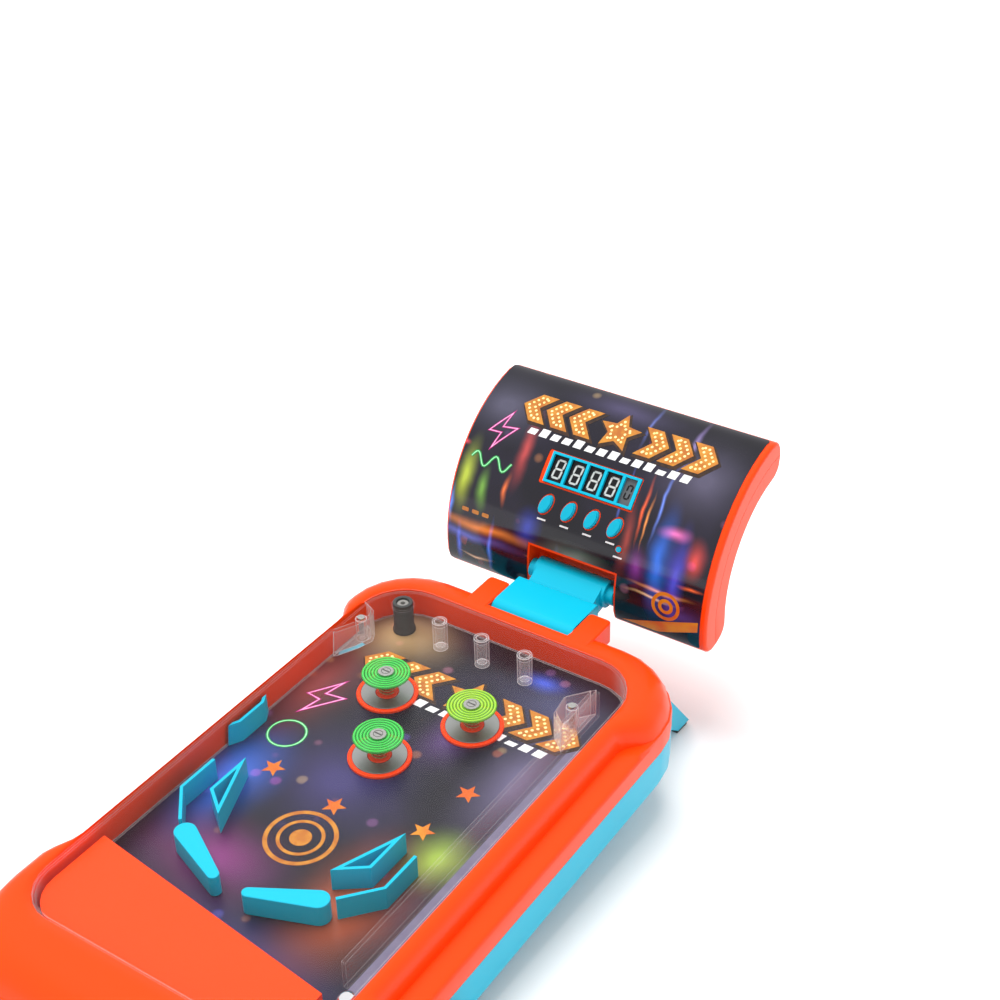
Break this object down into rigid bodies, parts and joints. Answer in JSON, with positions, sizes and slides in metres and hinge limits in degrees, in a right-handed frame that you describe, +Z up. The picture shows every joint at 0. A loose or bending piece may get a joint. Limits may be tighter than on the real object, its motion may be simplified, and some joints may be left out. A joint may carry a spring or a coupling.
{
  "type": "tabletop pinball game",
  "caption": "Tabletop pinball game with a waisted rounded body, a clear moulded cover over bumpers and flippers, and a curved score panel on a folding link arm.",
  "frame": {"origin": "middle of the footprint's bounding box, on the plane that the feet stand on", "axes": "+Y from the player towards the score panel, +X to the player's right, +Z up; the deck leans 4.5 degrees down towards the player"},
  "size_m": [0.233, 0.5054, 0.1789],
  "materials": {
    "orange_plastic": "injection moulded, semi-gloss",
    "cyan_plastic": "injection moulded, semi-gloss",
    "clear_plastic": "clear moulded, polished",
    "printed_panel": "printed sheet, glossy varnish",
    "black_rubber": "moulded rubber, matt",
    "black_plastic": "moulded, matt",
    "grey_plastic": "moulded, satin",
    "steel": "drawn and stamped steel",
    "polished_steel": "polished",
    "spring_brass": "drawn wire",
    "green_plastic": "translucent moulded",
    "lime_plastic": "translucent moulded",
    "circuit_green": "laminate with solder mask",
    "cell_jacket": "printed jacket"
  },
  "bodies": {
    "body": {"base_shell": "cyan_plastic", "top_frame": "orange_plastic", "playfield_panel": "printed_panel", "clear_cover": "clear_plastic", "cover_skirt": "clear_plastic", "lane_divider": "clear_plastic", "apron": "orange_plastic", "rubber_post": "black_rubber", "rubber_post_core": "clear_plastic", "bumper_1_base": "orange_plastic", "bumper_1_plate": "steel", "bumper_1_spring": "spring_brass", "bumper_2_base": "orange_plastic", "bumper_2_plate": "steel", "bumper_2_spring": "spring_brass", "bumper_3_base": "orange_plastic", "bumper_3_plate": "steel", "bumper_3_spring": "spring_brass", "left_button_spring": "steel", "right_button_spring": "steel", "plunger_bush": "black_plastic", "plunger_spring": "steel", "left_rear_leg": "cyan_plastic", "left_leg_pad": "black_rubber", "left_front_foot": "black_rubber", "right_rear_leg": "cyan_plastic", "right_leg_pad": "black_rubber", "right_front_foot": "black_rubber", "battery_1": "cell_jacket", "battery_2": "cell_jacket", "battery_door": "cyan_plastic", "link_pin": "steel"},
    "link": {"link_arm": "cyan_plastic", "head_pin": "steel"},
    "head": {"head_front_shell": "orange_plastic", "head_back_shell": "orange_plastic", "display_bezel": "cyan_plastic", "display_module": "black_plastic", "circuit_board": "circuit_green", "speaker": "black_plastic"},
    "first_key": {"key_1": "cyan_plastic"},
    "second_key": {"key_2": "cyan_plastic"},
    "third_key": {"key_3": "cyan_plastic"},
    "fourth_key": {"key_4": "cyan_plastic"},
    "reset": {"reset_key": "cyan_plastic"},
    "left_bumper_top": {"bumper_1_stem": "grey_plastic", "bumper_1_disc": "green_plastic"},
    "right_bumper_top": {"bumper_2_stem": "grey_plastic", "bumper_2_disc": "lime_plastic"},
    "lower_bumper_top": {"bumper_3_stem": "grey_plastic", "bumper_3_disc": "green_plastic"},
    "left_flipper_set": {"left_flipper": "cyan_plastic", "left_crank": "grey_plastic"},
    "right_flipper_set": {"right_flipper": "cyan_plastic", "right_crank": "grey_plastic"},
    "left_push_button": {"left_button": "orange_plastic"},
    "right_push_button": {"right_button": "orange_plastic"},
    "plunger": {"plunger_rod": "steel", "plunger_knob": "orange_plastic"},
    "ball": {"steel_ball": "polished_steel"}
  },
  "joints": [
    {"name": "link_fold", "type": "hinge", "parent": "body", "child": "link", "pos_m": [0, 0.13078, 0.07545], "axis": [1, 0, 0], "range_deg": [0, 45]},
    {"name": "head_tilt", "type": "hinge", "parent": "link", "child": "head", "pos_m": [0, 0.1738, 0.08335], "axis": [1, 0, 0], "range_deg": [-25, 40]},
    {"name": "key_1_press", "type": "slide", "parent": "head", "child": "first_key", "axis": [0, 0.9114, -0.4115], "range_m": [0, 0.0012], "stiffness_N_per_m": 400, "springref_m": -0.001},
    {"name": "key_2_press", "type": "slide", "parent": "head", "child": "second_key", "axis": [0, 0.9114, -0.4115], "range_m": [0, 0.0012], "stiffness_N_per_m": 400, "springref_m": -0.001},
    {"name": "key_3_press", "type": "slide", "parent": "head", "child": "third_key", "axis": [0, 0.9114, -0.4115], "range_m": [0, 0.0012], "stiffness_N_per_m": 400, "springref_m": -0.001},
    {"name": "key_4_press", "type": "slide", "parent": "head", "child": "fourth_key", "axis": [0, 0.9114, -0.4115], "range_m": [0, 0.0012], "stiffness_N_per_m": 400, "springref_m": -0.001},
    {"name": "reset_press", "type": "slide", "parent": "head", "child": "reset", "axis": [0, 0.9573, -0.289], "range_m": [0, 0.0012], "stiffness_N_per_m": 300, "springref_m": -0.001},
    {"name": "bumper_1_rock", "type": "hinge", "parent": "body", "child": "left_bumper_top", "pos_m": [-0.04465, 0.04166, 0.05981], "axis": [1, 0, 0], "range_deg": [-3.5, 3.5], "stiffness_Nm_per_rad": 0.06, "deforming": ["bumper_1_spring"]},
    {"name": "bumper_2_rock", "type": "hinge", "parent": "body", "child": "right_bumper_top", "pos_m": [0.01334, 0.04384, 0.05999], "axis": [1, 0, 0], "range_deg": [-3.5, 3.5], "stiffness_Nm_per_rad": 0.06, "deforming": ["bumper_2_spring"]},
    {"name": "bumper_3_rock", "type": "hinge", "parent": "body", "child": "lower_bumper_top", "pos_m": [-0.01566, -0.00412, 0.05621], "axis": [1, 0, 0], "range_deg": [-3.5, 3.5], "stiffness_Nm_per_rad": 0.06, "deforming": ["bumper_3_spring"]},
    {"name": "left_button_press", "type": "slide", "parent": "body", "child": "left_push_button", "axis": [1, 0, 0], "range_m": [0, 0.006], "stiffness_N_per_m": 250, "springref_m": -0.004, "deforming": ["left_button_spring"]},
    {"name": "right_button_press", "type": "slide", "parent": "body", "child": "right_push_button", "axis": [-1, 0, 0], "range_m": [0, 0.006], "stiffness_N_per_m": 250, "springref_m": -0.004, "deforming": ["right_button_spring"]},
    {"name": "left_flipper_turn", "type": "hinge", "parent": "body", "child": "left_flipper_set", "pos_m": [-0.0572, -0.1136, 0.04519], "axis": [0, -0.0785, 0.9969], "range_deg": [0, 50.1]},
    {"name": "right_flipper_turn", "type": "hinge", "parent": "body", "child": "right_flipper_set", "pos_m": [0.0303, -0.1136, 0.04519], "axis": [0, -0.0785, 0.9969], "range_deg": [-50.1, 0]},
    {"name": "plunger_pull", "type": "slide", "parent": "body", "child": "plunger", "axis": [0, -0.9969, -0.0785], "range_m": [0, 0.018], "stiffness_N_per_m": 120, "springref_m": -0.008, "deforming": ["plunger_spring"]},
    {"name": "ball_roll", "type": "slide", "parent": "body", "child": "ball", "axis": [0, 0.9969, 0.0785], "range_m": [0, 0.2]}
  ],
  "couplings": [
    {"joint": "left_flipper_turn", "follows": "left_button_press", "rad_per_m": 145.44},
    {"joint": "right_flipper_turn", "follows": "right_button_press", "rad_per_m": -145.44}
  ]
}
